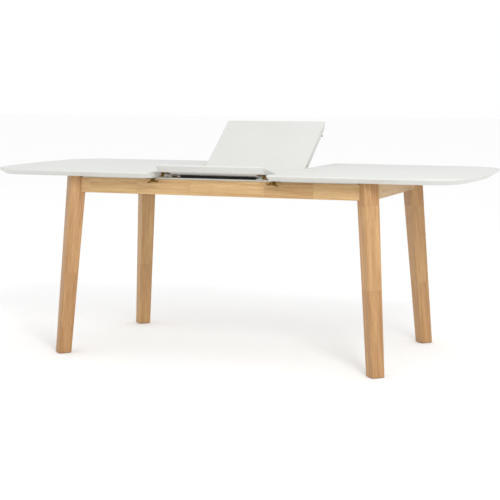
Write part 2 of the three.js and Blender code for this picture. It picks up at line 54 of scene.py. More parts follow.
CAMERA_PLACE = (2.0229, -5.1817, 1.0834)
CAMERA_YAW = 0.3701
CAMERA_PITCH = 0.1207
CAMERA_FOCUS = 1352.2 / 500 * 36  # mm, on a sensor 36 mm wide


def make_camera():
    data = bpy.data.cameras.new("studio_camera")
    data.sensor_width = 36
    data.lens = CAMERA_FOCUS
    data.clip_end = 100
    camera = bpy.data.objects.new("studio_camera", data)
    forward = Vector((
        -math.sin(CAMERA_YAW) * math.cos(CAMERA_PITCH),
        math.cos(CAMERA_YAW) * math.cos(CAMERA_PITCH),
        -math.sin(CAMERA_PITCH),
    ))
    right = Vector((math.cos(CAMERA_YAW), math.sin(CAMERA_YAW), 0))
    up = right.cross(forward)
    turn = Matrix((right, up, -forward)).transposed().to_4x4()
    camera.matrix_world = Matrix.Translation(CAMERA_PLACE) @ turn
    bpy.context.scene.collection.objects.link(camera)
    bpy.context.scene.camera = camera


# ------------------------------------------------------------------ node helpers


def colour(text):
    """Linear RGBA from an sRGB hex value."""
    parts = [int(text[i:i + 2], 16) / 255 for i in (1, 3, 5)]
    linear = [c / 12.92 if c <= 0.04045 else ((c + 0.055) / 1.055) ** 2.4 for c in parts]
    return (*linear, 1.0)


def feed(tree, node, inputs):
    """Fills inputs with values, with output sockets or with the first output of nodes."""
    for key, value in inputs.items():
        source = value.outputs[0] if isinstance(value, bpy.types.Node) else value
        if isinstance(source, bpy.types.NodeSocket):
            tree.links.new(source, node.inputs[key])
        else:
            node.inputs[key].default_value = source


def add(tree, kind, inputs=None, **settings):
    node = tree.nodes.new(kind)
    for key, value in settings.items():
        setattr(node, key, value)
    feed(tree, node, inputs or {})
    return node


def new_material(name):
    material = bpy.data.materials.new(name)
    material.use_nodes = True
    tree = material.node_tree
    tree.nodes.clear()
    shader = add(tree, "ShaderNodeBsdfPrincipled")
    add(tree, "ShaderNodeOutputMaterial", {"Surface": shader}, is_active_output=True)
    return material, tree, shader


def set_ramp(node, stops):
    """Gives a Color Ramp its (position, colour) stops."""
    elements = node.color_ramp.elements
    while len(elements) < len(stops):
        elements.new(0.5)
    for element, (position, value) in zip(elements, stops):
        element.position = position
        element.color = value


def grey(value):
    return (value, value, value, 1.0)


# ------------------------------------------------------------------ materials


def make_white_lacquer():
    """Satin polyurethane lacquer, sprayed on fibreboard. It gives an even white with
    the soft highlight of a low gloss and the faint ripple that a spray coat keeps."""
    material, tree, shader = new_material("satin_white_lacquer_on_fibreboard")
    place = add(tree, "ShaderNodeTexCoord").outputs["Object"]
    ripple = add(tree, "ShaderNodeTexNoise", {
        "Vector": place, "Scale": 1 / (6 * MM), "Detail": 2.0,
    })
    cloud = add(tree, "ShaderNodeTexNoise", {
        "Vector": place, "Scale": 1 / (240 * MM), "Detail": 3.0,
    })
    tint = add(tree, "ShaderNodeValToRGB", {"Fac": cloud})
    set_ramp(tint, [(0.3, colour("#CDCECA")), (0.7, colour("#D0D1CD"))])
    gloss = add(tree, "ShaderNodeMapRange", {
        "Value": cloud, "From Min": 0.3, "From Max": 0.7, "To Min": 0.36, "To Max": 0.42,
    })
    bump = add(tree, "ShaderNodeBump", {
        "Height": ripple, "Strength": 0.035, "Distance": 0.3 * MM,
    })
    feed(tree, shader, {"Base Color": tint, "Roughness": gloss, "Normal": bump, "IOR": 1.5})
    return material


GRAIN_ATTRIBUTE = "grain"
STRIP_WIDTH = 0.4  # far wider than a leg or a rail, which shows one row of blocks or two
FINGER_PITCH = 4 * MM
FINGER_LENGTH = 9 * MM
GLUE_LINE = 0.6 * MM
# The colour sockets of a Mix node share their names with its number sockets.
MIX_FACTOR, MIX_FIRST, MIX_SECOND, MIX_RESULT = 0, 6, 7, 2


def make_rubberwood(name, block_length, tint_low, tint_middle, tint_high):
    """Rubberwood (hevea) blocks, finger-jointed end to end, under a clear satin
    lacquer. It gives blocks of slightly different warm tone, a straight fine grain
    along each piece, brown pore dashes and zigzag joints."""
    material, tree, shader = new_material(name)
    place = add(tree, "ShaderNodeAttribute", attribute_name=GRAIN_ATTRIBUTE).outputs["Vector"]
    along, across, through = add(tree, "ShaderNodeSeparateXYZ", {"Vector": place}).outputs

    # The strip that a point is on, and the piece, which is the whole part of across.
    strips = add(tree, "ShaderNodeMath", {0: across, 1: STRIP_WIDTH}, operation="DIVIDE")
    strip = add(tree, "ShaderNodeMath", {0: strips}, operation="FLOOR")
    piece = add(tree, "ShaderNodeMath", {0: across}, operation="FLOOR")

    # The block along the strip: of uneven length, staggered, with fingers in its ends.
    phase = add(tree, "ShaderNodeMath", {0: along, 1: 9.1}, operation="MULTIPLY")
    wander = add(tree, "ShaderNodeMath", {0: phase}, operation="SINE")
    shift = add(tree, "ShaderNodeMath", {0: wander, 1: 0.035}, operation="MULTIPLY")
    shifted = add(tree, "ShaderNodeMath", {0: along, 1: shift}, operation="ADD")
    stagger = add(tree, "ShaderNodeMath", {0: strip, 1: 0.113}, operation="MULTIPLY")
    staggered = add(tree, "ShaderNodeMath", {0: shifted, 1: stagger}, operation="ADD")
    fingers = add(tree, "ShaderNodeMath", {0: through, 1: FINGER_PITCH / 2}, operation="PINGPONG")
    zigzag = add(tree, "ShaderNodeMath", {
        0: fingers, 1: 2 * FINGER_LENGTH / FINGER_PITCH,
    }, operation="MULTIPLY")
    reach = add(tree, "ShaderNodeMath", {0: staggered, 1: zigzag}, operation="ADD")
    blocks = add(tree, "ShaderNodeMath", {0: reach, 1: block_length}, operation="DIVIDE")
    block = add(tree, "ShaderNodeMath", {0: blocks}, operation="FLOOR")
    from_joint = add(tree, "ShaderNodeMath", {0: blocks, 1: 0.5}, operation="PINGPONG")
    key = add(tree, "ShaderNodeCombineXYZ", {"X": block, "Y": strip, "Z": piece})
    chance = add(tree, "ShaderNodeTexWhiteNoise", {"Vector": key}, noise_dimensions="3D")

    # Each block is cut from another place of the tree.
    jump = add(tree, "ShaderNodeVectorMath", {
        0: chance.outputs["Color"], 1: (7.0, 5.0, 3.0),
    }, operation="MULTIPLY")
    own_place = add(tree, "ShaderNodeVectorMath", {0: place, 1: jump}, operation="ADD")

    # Growth figure some 9 mm wide, streaks 1 mm wide, and open pores.
    figure_place = add(tree, "ShaderNodeMapping", {
        "Vector": own_place, "Scale": (1 / (220 * MM), 1 / (9 * MM), 1 / (9 * MM)),
    })
    figure = add(tree, "ShaderNodeTexNoise", {
        "Vector": figure_place, "Scale": 1.0, "Detail": 3.0, "Roughness": 0.55,
        "Distortion": 0.4,
    })
    streak_place = add(tree, "ShaderNodeMapping", {
        "Vector": own_place, "Scale": (1 / (50 * MM), 1 / (1.1 * MM), 1 / (1.1 * MM)),
    })
    streaks = add(tree, "ShaderNodeTexNoise", {
        "Vector": streak_place, "Scale": 1.0, "Detail": 2.0, "Roughness": 0.6,
    })
    pore_place = add(tree, "ShaderNodeMapping", {
        "Vector": own_place, "Scale": (1 / (11 * MM), 1 / (0.75 * MM), 1 / (0.75 * MM)),
    })
    pores = add(tree, "ShaderNodeTexNoise", {
        "Vector": pore_place, "Scale": 1.0, "Detail": 1.0, "Roughness": 0.5,
    })
    open_pore = add(tree, "ShaderNodeMapRange", {
        "Value": pores, "From Min": 0.66, "From Max": 0.74, "To Min": 0.0, "To Max": 1.0,
    })

    block_tone = add(tree, "ShaderNodeMath", {0: chance, 1: 0.32}, operation="MULTIPLY")
    figure_tone = add(tree, "ShaderNodeMath", {0: figure, 1: 1.1}, operation="MULTIPLY")
    streak_tone = add(tree, "ShaderNodeMath", {0: streaks, 1: 0.9}, operation="MULTIPLY")
    grain_tone = add(tree, "ShaderNodeMath", {0: figure_tone, 1: streak_tone}, operation="ADD")
    whole_tone = add(tree, "ShaderNodeMath", {0: block_tone, 1: grain_tone}, operation="ADD")
    tone = add(tree, "ShaderNodeMath", {0: whole_tone, 1: 0.66}, operation="SUBTRACT")
    wood = add(tree, "ShaderNodeValToRGB", {"Fac": tone})
    set_ramp(wood, [
        (0.1, colour(tint_low)), (0.5, colour(tint_middle)), (0.9, colour(tint_high))])
    pore_share = add(tree, "ShaderNodeMath", {0: open_pore, 1: 0.5}, operation="MULTIPLY")
    pored = add(tree, "ShaderNodeMix", {
        MIX_FACTOR: pore_share, MIX_FIRST: wood, MIX_SECOND: colour("#7E5834"),
    }, data_type="RGBA")
    glue = add(tree, "ShaderNodeMapRange", {
        "Value": from_joint, "From Min": 0.0, "From Max": GLUE_LINE / block_length,
        "To Min": 0.45, "To Max": 0.0,
    })
    jointed = add(tree, "ShaderNodeMix", {
        MIX_FACTOR: glue, MIX_FIRST: pored.outputs[MIX_RESULT], MIX_SECOND: colour("#8F673F"),
    }, data_type="RGBA")
    gloss = add(tree, "ShaderNodeMapRange", {
        "Value": streaks, "From Min": 0.3, "From Max": 0.7, "To Min": 0.42, "To Max": 0.56,
    })
    streak_relief = add(tree, "ShaderNodeMath", {0: streaks, 1: 0.5}, operation="MULTIPLY")
    relief = add(tree, "ShaderNodeMath", {0: streak_relief, 1: open_pore}, operation="SUBTRACT")
    bump = add(tree, "ShaderNodeBump", {
        "Height": relief, "Strength": 0.22, "Distance": 0.15 * MM,
    })
    feed(tree, shader, {
        "Base Color": jointed.outputs[MIX_RESULT], "Roughness": gloss, "Normal": bump,
        "IOR": 1.5, "Coat Weight": 0.12, "Coat Roughness": 0.35,
    })
    return material


def make_metal(name, base_low, base_high, roughness, line_scale, line_strength):
    """Worked metal: cloudy plate colour, fine rolling or drawing lines, uneven gloss."""
    material, tree, shader = new_material(name)
    place = add(tree, "ShaderNodeTexCoord").outputs["Object"]
    cloud = add(tree, "ShaderNodeTexNoise", {
        "Vector": place, "Scale": 1 / (7 * MM), "Detail": 4.0,
    })
    line_place = add(tree, "ShaderNodeMapping", {"Vector": place, "Scale": line_scale})
    lines = add(tree, "ShaderNodeTexNoise", {
        "Vector": line_place, "Scale": 1.0, "Detail": 2.0,
    })
    tint = add(tree, "ShaderNodeValToRGB", {"Fac": cloud})
    set_ramp(tint, [(0.3, colour(base_low)), (0.7, colour(base_high))])
    gloss = add(tree, "ShaderNodeMapRange", {
        "Value": lines, "From Min": 0.3, "From Max": 0.7,
        "To Min": roughness - 0.07, "To Max": roughness + 0.07,
    })
    bump = add(tree, "ShaderNodeBump", {
        "Height": lines, "Strength": line_strength, "Distance": 0.1 * MM,
    })
    feed(tree, shader, {
        "Base Color": tint, "Roughness": gloss, "Normal": bump, "Metallic": 1.0,
    })
    return material


def make_nylon():
    """Injection-moulded nylon: milky, matt, with a fine moulding grain."""
    material, tree, shader = new_material("moulded_white_nylon")
    place = add(tree, "ShaderNodeTexCoord").outputs["Object"]
    grain = add(tree, "ShaderNodeTexNoise", {
        "Vector": place, "Scale": 1 / (1.2 * MM), "Detail": 3.0,
    })
    tint = add(tree, "ShaderNodeValToRGB", {"Fac": grain})
    set_ramp(tint, [(0.3, colour("#BFBBB0")), (0.7, colour("#CAC6BC"))])
    bump = add(tree, "ShaderNodeBump", {
        "Height": grain, "Strength": 0.1, "Distance": 0.1 * MM,
    })
    feed(tree, shader, {"Base Color": tint, "Normal": bump, "Roughness": 0.5, "IOR": 1.53})
    return material


def make_black_paint_and_painted_shade():
    """Satin black paint on steel: near black, with the orange peel of a thin coat. On the
    stiffener under the front leaf this near black is also painted shade, standing in for the dark
    slot below the leaf.
    """
    material, tree, shader = new_material("satin_black_paint_and_painted_shade_on_steel")
    place = add(tree, "ShaderNodeTexCoord").outputs["Object"]
    peel = add(tree, "ShaderNodeTexNoise", {
        "Vector": place, "Scale": 1 / (2 * MM), "Detail": 2.0,
    })
    tint = add(tree, "ShaderNodeValToRGB", {"Fac": peel})
    # Near-black tones: the steel's paint, and painted shade for the shaded slot under the front
    # leaf.
    set_ramp(tint, [(0.3, colour("#171614")), (0.7, colour("#211F1D"))])
    gloss = add(tree, "ShaderNodeMapRange", {"Value": peel, "To Min": 0.45, "To Max": 0.6})
    bump = add(tree, "ShaderNodeBump", {
        "Height": peel, "Strength": 0.15, "Distance": 0.1 * MM,
    })
    feed(tree, shader, {"Base Color": tint, "Roughness": gloss, "Normal": bump, "IOR": 1.5})
    return material


def make_felt():
    """Pressed wool felt: a matt grey mat of short crossing fibres."""
    material, tree, shader = new_material("pressed_grey_felt")
    place = add(tree, "ShaderNodeTexCoord").outputs["Object"]
    fibres = add(tree, "ShaderNodeTexNoise", {
        "Vector": place, "Scale": 1 / (0.8 * MM), "Detail": 4.0, "Distortion": 1.5,
    })
    tint = add(tree, "ShaderNodeValToRGB", {"Fac": fibres})
    set_ramp(tint, [(0.3, colour("#6F6B64")), (0.7, colour("#A19C93"))])
    bump = add(tree, "ShaderNodeBump", {
        "Height": fibres, "Strength": 0.5, "Distance": 0.4 * MM,
    })
    feed(tree, shader, {
        "Base Color": tint, "Normal": bump, "Roughness": 0.95, "Sheen Weight": 0.3,
    })
    return material


def make_beech():
    """Turned beech dowel: pale pinkish wood with short flecks along the pin."""
    material, tree, shader = new_material("turned_beech_dowel")
    place = add(tree, "ShaderNodeTexCoord").outputs["Object"]
    fleck_place = add(tree, "ShaderNodeMapping", {
        "Vector": place, "Scale": (1 / (6 * MM), 1 / (0.6 * MM), 1 / (0.6 * MM)),
    })
    flecks = add(tree, "ShaderNodeTexNoise", {
        "Vector": fleck_place, "Scale": 1.0, "Detail": 2.0,
    })
    tint = add(tree, "ShaderNodeValToRGB", {"Fac": flecks})
    set_ramp(tint, [(0.3, colour("#C9A27C")), (0.7, colour("#E2C4A0"))])
    bump = add(tree, "ShaderNodeBump", {
        "Height": flecks, "Strength": 0.2, "Distance": 0.1 * MM,
    })
    feed(tree, shader, {"Base Color": tint, "Normal": bump, "Roughness": 0.6})
    return material


LACQUER = make_white_lacquer()
LEG_WOOD = make_rubberwood(
    "finger_jointed_rubberwood_leg", 0.37, "#966B3D", "#B4895A", "#C9A370")
BOARD_WOOD = make_rubberwood(
    "finger_jointed_rubberwood_board", 0.25, "#A47A49", "#BE9967", "#D2B180")
# Line scales: long along the rolling or drawing, short across it.
YELLOW_ZINC = make_metal(
    "yellow_passivated_zinc_plate", "#57431F", "#86693A", 0.42,
    (1 / (20 * MM), 1 / (0.5 * MM), 1 / (0.5 * MM)), 0.08)
BRIGHT_ZINC = make_metal(
    "bright_zinc_plate", "#9C9EA1", "#B9BBBD", 0.38,
    (1 / (0.6 * MM), 1 / (0.6 * MM), 1 / (20 * MM)), 0.08)
ALUMINIUM = make_metal(
    "natural_anodised_extruded_aluminium", "#B4B6B8", "#C3C5C7", 0.34,
    (1 / (60 * MM), 1 / (0.5 * MM), 1 / (0.5 * MM)), 0.06)
NYLON = make_nylon()
FELT = make_felt()
# Black paint that also serves as painted shade in the slot under the front leaf.
BLACK_PAINT_AND_PAINTED_SHADE = make_black_paint_and_painted_shade()
BEECH = make_beech()

FINISHES = {
    "white_lacquer": LACQUER,
    "rubberwood": BOARD_WOOD,
    "yellow_zinc": YELLOW_ZINC,
    "bright_zinc": BRIGHT_ZINC,
    "aluminium": ALUMINIUM,
    "white_nylon": NYLON,
    "grey_felt": FELT,
    "black_steel": BLACK_PAINT_AND_PAINTED_SHADE,
}

# ------------------------------------------------------------------ pieces from the frame

SMOOTH_ANGLE = math.radians(28)


def as_plain_mesh(obj):
    """Applies an object's modifiers and leaves a plain mesh in their place."""
    graph = bpy.context.evaluated_depsgraph_get()
    mesh = bpy.data.meshes.new_from_object(obj.evaluated_get(graph))
    obj.modifiers.clear()
    old = obj.data
    obj.data = mesh
    bpy.data.meshes.remove(old)


def link(name, mesh):
    obj = bpy.data.objects.new(name, mesh)
    bpy.context.scene.collection.objects.link(obj)
    return obj


def eased_copy(node, width, segments=2):
    """A copy of a CAD node with its doubles merged, its flat faces joined and its
    edges rounded over by the given width, as sanding, folding or casting leaves them."""
    source = frame["nodes"][node]
    mesh = bpy.data.meshes.new(node + "_eased")
    form = bmesh.new()
    form.from_mesh(source.data)
    bmesh.ops.remove_doubles(form, verts=form.verts, dist=0.002 * MM)
    bmesh.ops.dissolve_limit(
        form, angle_limit=math.radians(0.6), verts=form.verts, edges=form.edges)
    form.to_mesh(mesh)
    form.free()
    obj = link(node + "_eased", mesh)
    mesh.shade_smooth()
    bevel = obj.modifiers.new("eased edges", "BEVEL")
    bevel.width = width
    bevel.segments = segments
    bevel.limit_method = "ANGLE"
    bevel.angle_limit = SMOOTH_ANGLE
    bevel.harden_normals = True
    bevel.use_clamp_overlap = True
    as_plain_mesh(obj)
    return obj


def body_holding(node):
    bodies = frame["record"]["behaviour"]["bodies"]
    return next(body for body, nodes in bodies.items() if node in nodes)


def write_grain(obj, to_grain):
    """Stores on each vertex its place along, across and through the wood's grain."""
    mesh = obj.data
    attribute = mesh.attributes.new(GRAIN_ATTRIBUTE, "FLOAT_VECTOR", "POINT")
    for index, vertex in enumerate(mesh.vertices):
        attribute.data[index].vector = to_grain(vertex.co)


def stand_for(node, width, finish, segments=2, to_grain=None):
    piece = eased_copy(node, width, segments)
    if to_grain:
        write_grain(piece, to_grain)
    piece.data.materials.clear()
    piece.data.materials.append(finish)
    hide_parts(node)
    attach(piece, body_holding(node))


LEG_TOP_MIDDLE = (0.611, 0.330, 0.7255)
LEG_FOOT_MIDDLE = (0.6625, 0.375, 0.0)
# Each piece starts at another place along the wood. The whole part of the number
# across the grain is the piece's own, so that no two pieces share their blocks.
LEG_SHIFT = 0.09
BOARD_SHIFT = 0.07
BOARD_MIDDLE_Z = 0.65


def leg_grain(sign_x, sign_y, seed):
    def place(point):
        t = point.z / LEG_TOP_MIDDLE[2]
        middle_x = sign_x * (LEG_FOOT_MIDDLE[0] + (LEG_TOP_MIDDLE[0] - LEG_FOOT_MIDDLE[0]) * t)
        middle_y = sign_y * (LEG_FOOT_MIDDLE[1] + (LEG_TOP_MIDDLE[1] - LEG_FOOT_MIDDLE[1]) * t)
        aside, ahead = point.x - middle_x, point.y - middle_y
        # The leg's faces look along the diagonals of the table.
        across = (aside * sign_x - ahead * sign_y) * math.sqrt(0.5)
        through = (aside * sign_x + ahead * sign_y) * math.sqrt(0.5)
        return (point.z + LEG_SHIFT * seed, across + seed + 0.5, through + 0.3)
    return place


def board_grain(axis, seed):
    """Grain along X or Y for a board on edge."""
    def place(point):
        along, through = (point.x, point.y) if axis == "x" else (point.y, point.x)
        return (along + BOARD_SHIFT * seed, point.z - BOARD_MIDDLE_Z + seed + 0.2, through)
    return place


seed = 0
for sign_x, side in SIDES:
    for sign_y, row in ROWS:
        seed += 1
        stand_for(f"leg_{side}_{row}", 1.5 * MM, LEG_WOOD, 3,
                  leg_grain(sign_x, sign_y, seed))
for node, axis in (
    ("apron_front", "x"), ("apron_rear", "x"), ("leaf_rest_batten", "x"),
    ("apron_end_left", "y"), ("apron_end_right", "y"),
    ("cross_rail_left", "y"), ("cross_rail_right", "y"),
):
    seed += 1
    stand_for(node, 1.2 * MM, BOARD_WOOD, 2, board_grain(axis, seed))

for node in ("top_left", "top_right", "leaf_front", "leaf_rear"):
    stand_for(node, 1.0 * MM, LACQUER, 3)

EDGE_WIDTHS = {
    "yellow_zinc": 0.3 * MM,
    "bright_zinc": 0.35 * MM,
    "aluminium": 0.3 * MM,
    "white_nylon": 0.6 * MM,
    "grey_felt": 0.5 * MM,
    "black_steel": 0.5 * MM,
}
SLOT_OF_KIND = {
    "corner_bracket": "bright_zinc",
    "hanger_bolt": "bright_zinc",
    "foot_glide": "grey_felt",
    "runner": "aluminium",
    "lock_base": "yellow_zinc",
    "lock_lever": "yellow_zinc",
    "lock_keeper": "yellow_zinc",
    "pivot_bracket": "yellow_zinc",
    "pivot_pin": "bright_zinc",
    "guide_rail": "aluminium",
    "glide_strip": "white_nylon",
    "leaf_arm": "yellow_zinc",
    # The stiffener's near black is partly its paint and partly painted shade for the slot under
    # the leaf.
    "leaf_stiffener": "black_steel",
    "hinge_plate": "yellow_zinc",
    "hinge_link": "yellow_zinc",
}
for node in frame["nodes"]:
    kind = next((k for k in SLOT_OF_KIND if node.startswith(k)), None)
    if kind:
        slot = SLOT_OF_KIND[kind]
        stand_for(node, EDGE_WIDTHS[slot], FINISHES[slot])

# ------------------------------------------------------------------ screws and dowels


def joint_named(name):
    joints = frame["record"]["behaviour"]["joints"]
    return next(joint for joint in joints if joint["name"] == name)


LEAF_TILT = math.radians(joint_named("leaf_tilt")["range_deg"][1])  # fold edge down
LEAF_FOLD = -math.radians(joint_named("leaf_fold_front")["range_deg"][0])  # half to half
TILT_LINE = Vector(joint_named("leaf_tilt")["pos_m"])
FOLD_LINE = Vector((0, -0.005, 0.747))  # with the leaf flush


def turned_about(line, angle):
    there, back = Matrix.Translation(line), Matrix.Translation(-line)
    return there @ Matrix.Rotation(angle, 4, "X") @ back


FRONT_LEAF_TURN = turned_about(TILT_LINE, -LEAF_TILT)
REAR_LEAF_TURN = FRONT_LEAF_TURN @ turned_about(FOLD_LINE, LEAF_FOLD)


def node_group(name, sizes):
    """An empty geometry tree with a mesh of aimed points as input and named sizes."""
    tree = bpy.data.node_groups.new(name, "GeometryNodeTree")
    face = tree.interface
    face.new_socket("Geometry", in_out="OUTPUT", socket_type="NodeSocketGeometry")
    face.new_socket("Points", in_out="INPUT", socket_type="NodeSocketGeometry")
    for label, value in sizes.items():
        socket = face.new_socket(label, in_out="INPUT", socket_type="NodeSocketFloat")
        socket.default_value = value
    face.new_socket("Finish", in_out="INPUT", socket_type="NodeSocketMaterial")
    return tree, add(tree, "NodeGroupInput"), add(tree, "NodeGroupOutput")


def scatter(tree, given, out, form, seed):
    """Sets a form on every point along its aim, each turned by chance, as one mesh."""
    points = add(tree, "GeometryNodeMeshToPoints", {"Mesh": given.outputs["Points"]})
    aim = add(tree, "GeometryNodeInputNamedAttribute", {
        "Name": "aim",
    }, data_type="FLOAT_VECTOR")
    turn = add(tree, "FunctionNodeAlignRotationToVector", {
        "Vector": aim.outputs["Attribute"],
    }, axis="Z")
    spin = add(tree, "FunctionNodeRandomValue", {
        "Min": (0.0, 0.0, 0.0), "Max": (0.0, 0.0, math.pi), "Seed": seed,
    }, data_type="FLOAT_VECTOR")
    set_down = add(tree, "GeometryNodeInstanceOnPoints", {
        "Points": points, "Instance": form, "Rotation": turn,
    })
    spun = add(tree, "GeometryNodeRotateInstances", {
        "Instances": set_down, "Rotation": spin.outputs["Value"],
    })
    real = add(tree, "GeometryNodeRealizeInstances", {"Geometry": spun})
    finish = add(tree, "GeometryNodeSetMaterial", {
        "Geometry": real, "Material": given.outputs["Finish"],
    })
    feed(tree, out, {"Geometry": finish})


HEAD_SIDES = 24
WAIST_SHARE = 0.93  # of the head's radius, where its skirt meets its crown
CROWN_SHARE = 0.6
RECESS_SHARE = 1.1


def make_screw_tree():
    """Pan heads with a cross recess."""
    tree, given, out = node_group("screw_heads", {
        "Head Radius": 3.4 * MM, "Head Height": 1.3 * MM, "Recess Width": 0.9 * MM,
    })
    radius = given.outputs["Head Radius"]
    height = given.outputs["Head Height"]
    recess = given.outputs["Recess Width"]
    half_height = add(tree, "ShaderNodeMath", {0: height, 1: 0.5}, operation="MULTIPLY")
    waist = add(tree, "ShaderNodeMath", {0: radius, 1: WAIST_SHARE}, operation="MULTIPLY")
    top = add(tree, "ShaderNodeMath", {0: radius, 1: CROWN_SHARE}, operation="MULTIPLY")
    reach = add(tree, "ShaderNodeMath", {0: radius, 1: RECESS_SHARE}, operation="MULTIPLY")
    skirt = add(tree, "GeometryNodeMeshCone", {
        "Vertices": HEAD_SIDES, "Radius Top": waist, "Radius Bottom": radius,
        "Depth": half_height,
    })
    crown = add(tree, "GeometryNodeMeshCone", {
        "Vertices": HEAD_SIDES, "Radius Top": top, "Radius Bottom": waist,
        "Depth": half_height,
    })
    lift = add(tree, "ShaderNodeCombineXYZ", {"Z": half_height})
    raised = add(tree, "GeometryNodeTransform", {
        "Geometry": crown.outputs["Mesh"], "Translation": lift,
    })
    whole = add(tree, "GeometryNodeMeshBoolean", operation="UNION")
    tree.links.new(raised.outputs["Geometry"], whole.inputs["Mesh 2"])
    tree.links.new(skirt.outputs["Mesh"], whole.inputs["Mesh 2"])
    cutters = []
    for sizes in ((reach, recess), (recess, reach)):
        size = add(tree, "ShaderNodeCombineXYZ", {"X": sizes[0], "Y": sizes[1], "Z": height})
        cutters.append(add(tree, "GeometryNodeMeshCube", {"Size": size}))
    cross = add(tree, "GeometryNodeMeshBoolean", operation="UNION")
    for cutter in cutters:
        tree.links.new(cutter.outputs["Mesh"], cross.inputs["Mesh 2"])
    above = add(tree, "ShaderNodeCombineXYZ", {"Z": height})
    cross_up = add(tree, "GeometryNodeTransform", {
        "Geometry": cross.outputs["Mesh"], "Translation": above,
    })
    head = add(tree, "GeometryNodeMeshBoolean", {
        "Mesh 1": whole.outputs["Mesh"],
    }, operation="DIFFERENCE")
    tree.links.new(cross_up.outputs["Geometry"], head.inputs["Mesh 2"])
    scatter(tree, given, out, head.outputs["Mesh"], 11)
    return tree


FLUTES = 14
PIN_RINGS = 9
TIP_TAPER = 0.22


def make_dowel_tree():
    """Fluted pins with a tapered tip."""
    tree, given, out = node_group("fluted_dowels", {
        "Pin Radius": 3.9 * MM, "Flute Depth": 0.35 * MM, "Pin Length": 8 * MM,
    })
    radius = given.outputs["Pin Radius"]
    depth = given.outputs["Flute Depth"]
    length = given.outputs["Pin Length"]
    inner = add(tree, "ShaderNodeMath", {0: radius, 1: depth}, operation="SUBTRACT")
    flutes = add(tree, "GeometryNodeCurveStar", {
        "Points": FLUTES, "Inner Radius": inner, "Outer Radius": radius,
    })
    tip = add(tree, "ShaderNodeCombineXYZ", {"Z": length})
    line = add(tree, "GeometryNodeCurvePrimitiveLine", {"End": tip})
    even = add(tree, "GeometryNodeResampleCurve", {
        "Curve": line.outputs["Curve"], "Count": PIN_RINGS,
    })
    index = add(tree, "GeometryNodeInputIndex").outputs["Index"]
    at_tip = add(tree, "ShaderNodeMath", {0: index, 1: PIN_RINGS - 1.5}, operation="GREATER_THAN")
    cut = add(tree, "ShaderNodeMath", {0: at_tip, 1: TIP_TAPER}, operation="MULTIPLY")
    taper = add(tree, "ShaderNodeMath", {0: 1.0, 1: cut}, operation="SUBTRACT")
    shaped = add(tree, "GeometryNodeSetCurveRadius", {
        "Curve": even.outputs["Curve"], "Radius": taper,
    })
    pin = add(tree, "GeometryNodeCurveToMesh", {
        "Curve": shaped.outputs["Curve"], "Profile Curve": flutes.outputs["Curve"],
        "Scale": taper, "Fill Caps": True,
    })
    scatter(tree, given, out, pin.outputs["Mesh"], 5)
    return tree


SCREW_TREE = make_screw_tree()
DOWEL_TREE = make_dowel_tree()


def grow(name, tree, places, finish, body, sizes=None):
    """Runs a tree on (point, aim) places and leaves one plain mesh on the body."""
    mesh = bpy.data.meshes.new(name)
    mesh.from_pydata([tuple(point) for point, aim in places], [], [])
    aims = mesh.attributes.new("aim", "FLOAT_VECTOR", "POINT")
    for index, (point, aim) in enumerate(places):
        aims.data[index].vector = aim
    obj = link(name, mesh)
    modifier = obj.modifiers.new("made from points", "NODES")
    modifier.node_group = tree
    values = {"Finish": finish, **(sizes or {})}
    for item in tree.interface.items_tree:
        if item.in_out == "INPUT" and item.name in values:
            modifier[item.identifier] = values[item.name]
    as_plain_mesh(obj)
    obj.data.materials.clear()
    obj.data.materials.append(finish)
    obj.data.shade_smooth()
    obj.data.set_sharp_from_angle(angle=SMOOTH_ANGLE)
    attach(obj, body)


def turned(places, turn):
    return [(turn @ Vector(point), turn.to_3x3() @ Vector(aim)) for point, aim in places]


DOWN = (0, 0, -1)
TO_LEFT = (-1, 0, 0)
PLATE_UNDERSIDE = 0.7232  # lock plates, under a panel
FLANGE_UNDERSIDE = 0.7227  # runners, leaf arms and the stiffener
HINGE_FACE_X = 0.2191
HINGE_SCREW_Z = 0.744
HINGE_SCREWS_Y = (0.022, 0.044)
LOCK_SCREW_Y = 0.365
KEEPER_SCREWS_X = (0.191, 0.208)
LOCK_SCREWS_X = (0.250, 0.273)
RUNNER_SCREW_Y = 0.2997
RUNNER_SCREWS_X = (0.283, 0.403, 0.523)
CORNER_SCREW_Z = 0.673
CORNER_FACE_Y = 0.3207
CORNER_SCREWS_X = (0.498, 0.514)
CORNER_FACE_X = 0.6067
CORNER_SCREWS_Y = (0.210, 0.227)
PIVOT_FACE_Y = -0.291
PIVOT_SCREW_Z = 0.6932
PIVOT_SCREWS_X = (0.189, 0.209)
ARM_SCREW_Y = -0.255
ARM_SCREWS_X = (0.1915, 0.2065)
STIFFENER_SCREW_Y = -0.307
STIFFENER_SCREWS_X = (-0.13, -0.06, 0.06, 0.13)
EDGE_MIDDLE_Z = 0.738
TOP_EDGE_X = 0.243
LEAF_EDGE_X = -0.222
DOWELS_Y = (0.130, 0.365)
SMALL_HEAD = {"Head Radius": 2.6 * MM, "Head Height": 1.1 * MM}


def screws_on_panel_ends(sign_y):
    """Hinge plates let into both ends of one leaf half, and its keepers."""
    places = []
    for sign_x, _ in SIDES:
        for y in HINGE_SCREWS_Y:
            places.append(((sign_x * HINGE_FACE_X, sign_y * y, HINGE_SCREW_Z), (sign_x, 0, 0)))
        for x in KEEPER_SCREWS_X:
            places.append(((sign_x * x, sign_y * LOCK_SCREW_Y, PLATE_UNDERSIDE), DOWN))
    return places


def screws_under_front_leaf():
    """Leaf arms at both ends, and the stiffener along the leaf."""
    places = []
    for sign_x, _ in SIDES:
        for x in ARM_SCREWS_X:
            places.append(((sign_x * x, ARM_SCREW_Y, FLANGE_UNDERSIDE), DOWN))
    for x in STIFFENER_SCREWS_X:
        places.append(((x, STIFFENER_SCREW_Y, FLANGE_UNDERSIDE), DOWN))
    return places


